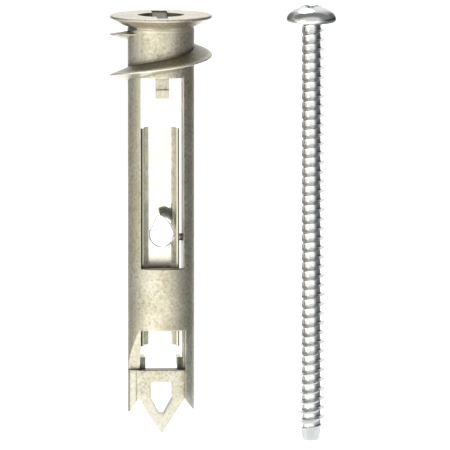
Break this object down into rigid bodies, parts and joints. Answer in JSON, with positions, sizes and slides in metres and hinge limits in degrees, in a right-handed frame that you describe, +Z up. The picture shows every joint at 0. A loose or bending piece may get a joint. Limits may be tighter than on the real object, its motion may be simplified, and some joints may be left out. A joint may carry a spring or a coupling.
{
  "type": "wall anchor",
  "caption": "Self-drilling metal wall anchor with a coarse thread, a flange and a toggle that swings out of its slotted tube, with its pan-head screw beside it.",
  "frame": {"origin": "centre of the overall outline seen from above, at the level of the screw's tip", "axes": "+Z up along both shafts, towards the flange and the screw head; +Y from the front window to the back; +X from the anchor to the screw"},
  "size_m": [0.0342, 0.0154, 0.0662],
  "materials": {
    "cast_zinc": "satin die-cast zinc with a fine grain",
    "zinc_plate": "bright zinc plate on stamped steel",
    "screw_plate": "bright zinc plate on a rolled steel thread"
  },
  "bodies": {
    "anchor_body": {"anchor_body": "cast_zinc"},
    "toggle": {"toggle": "zinc_plate"},
    "screw": {"screw": "screw_plate"}
  },
  "joints": [
    {"name": "toggle_swing", "type": "hinge", "parent": "anchor_body", "child": "toggle", "pos_m": [-0.00941, 0, 0.03116], "axis": [1, 0, 0], "range_deg": [0, 90]},
    {"name": "screw_turn", "type": "hinge", "parent": "anchor_body", "child": "screw", "pos_m": [0.01328, 0, 0.0635], "axis": [0, 0, -1], "continuous": true}
  ]
}
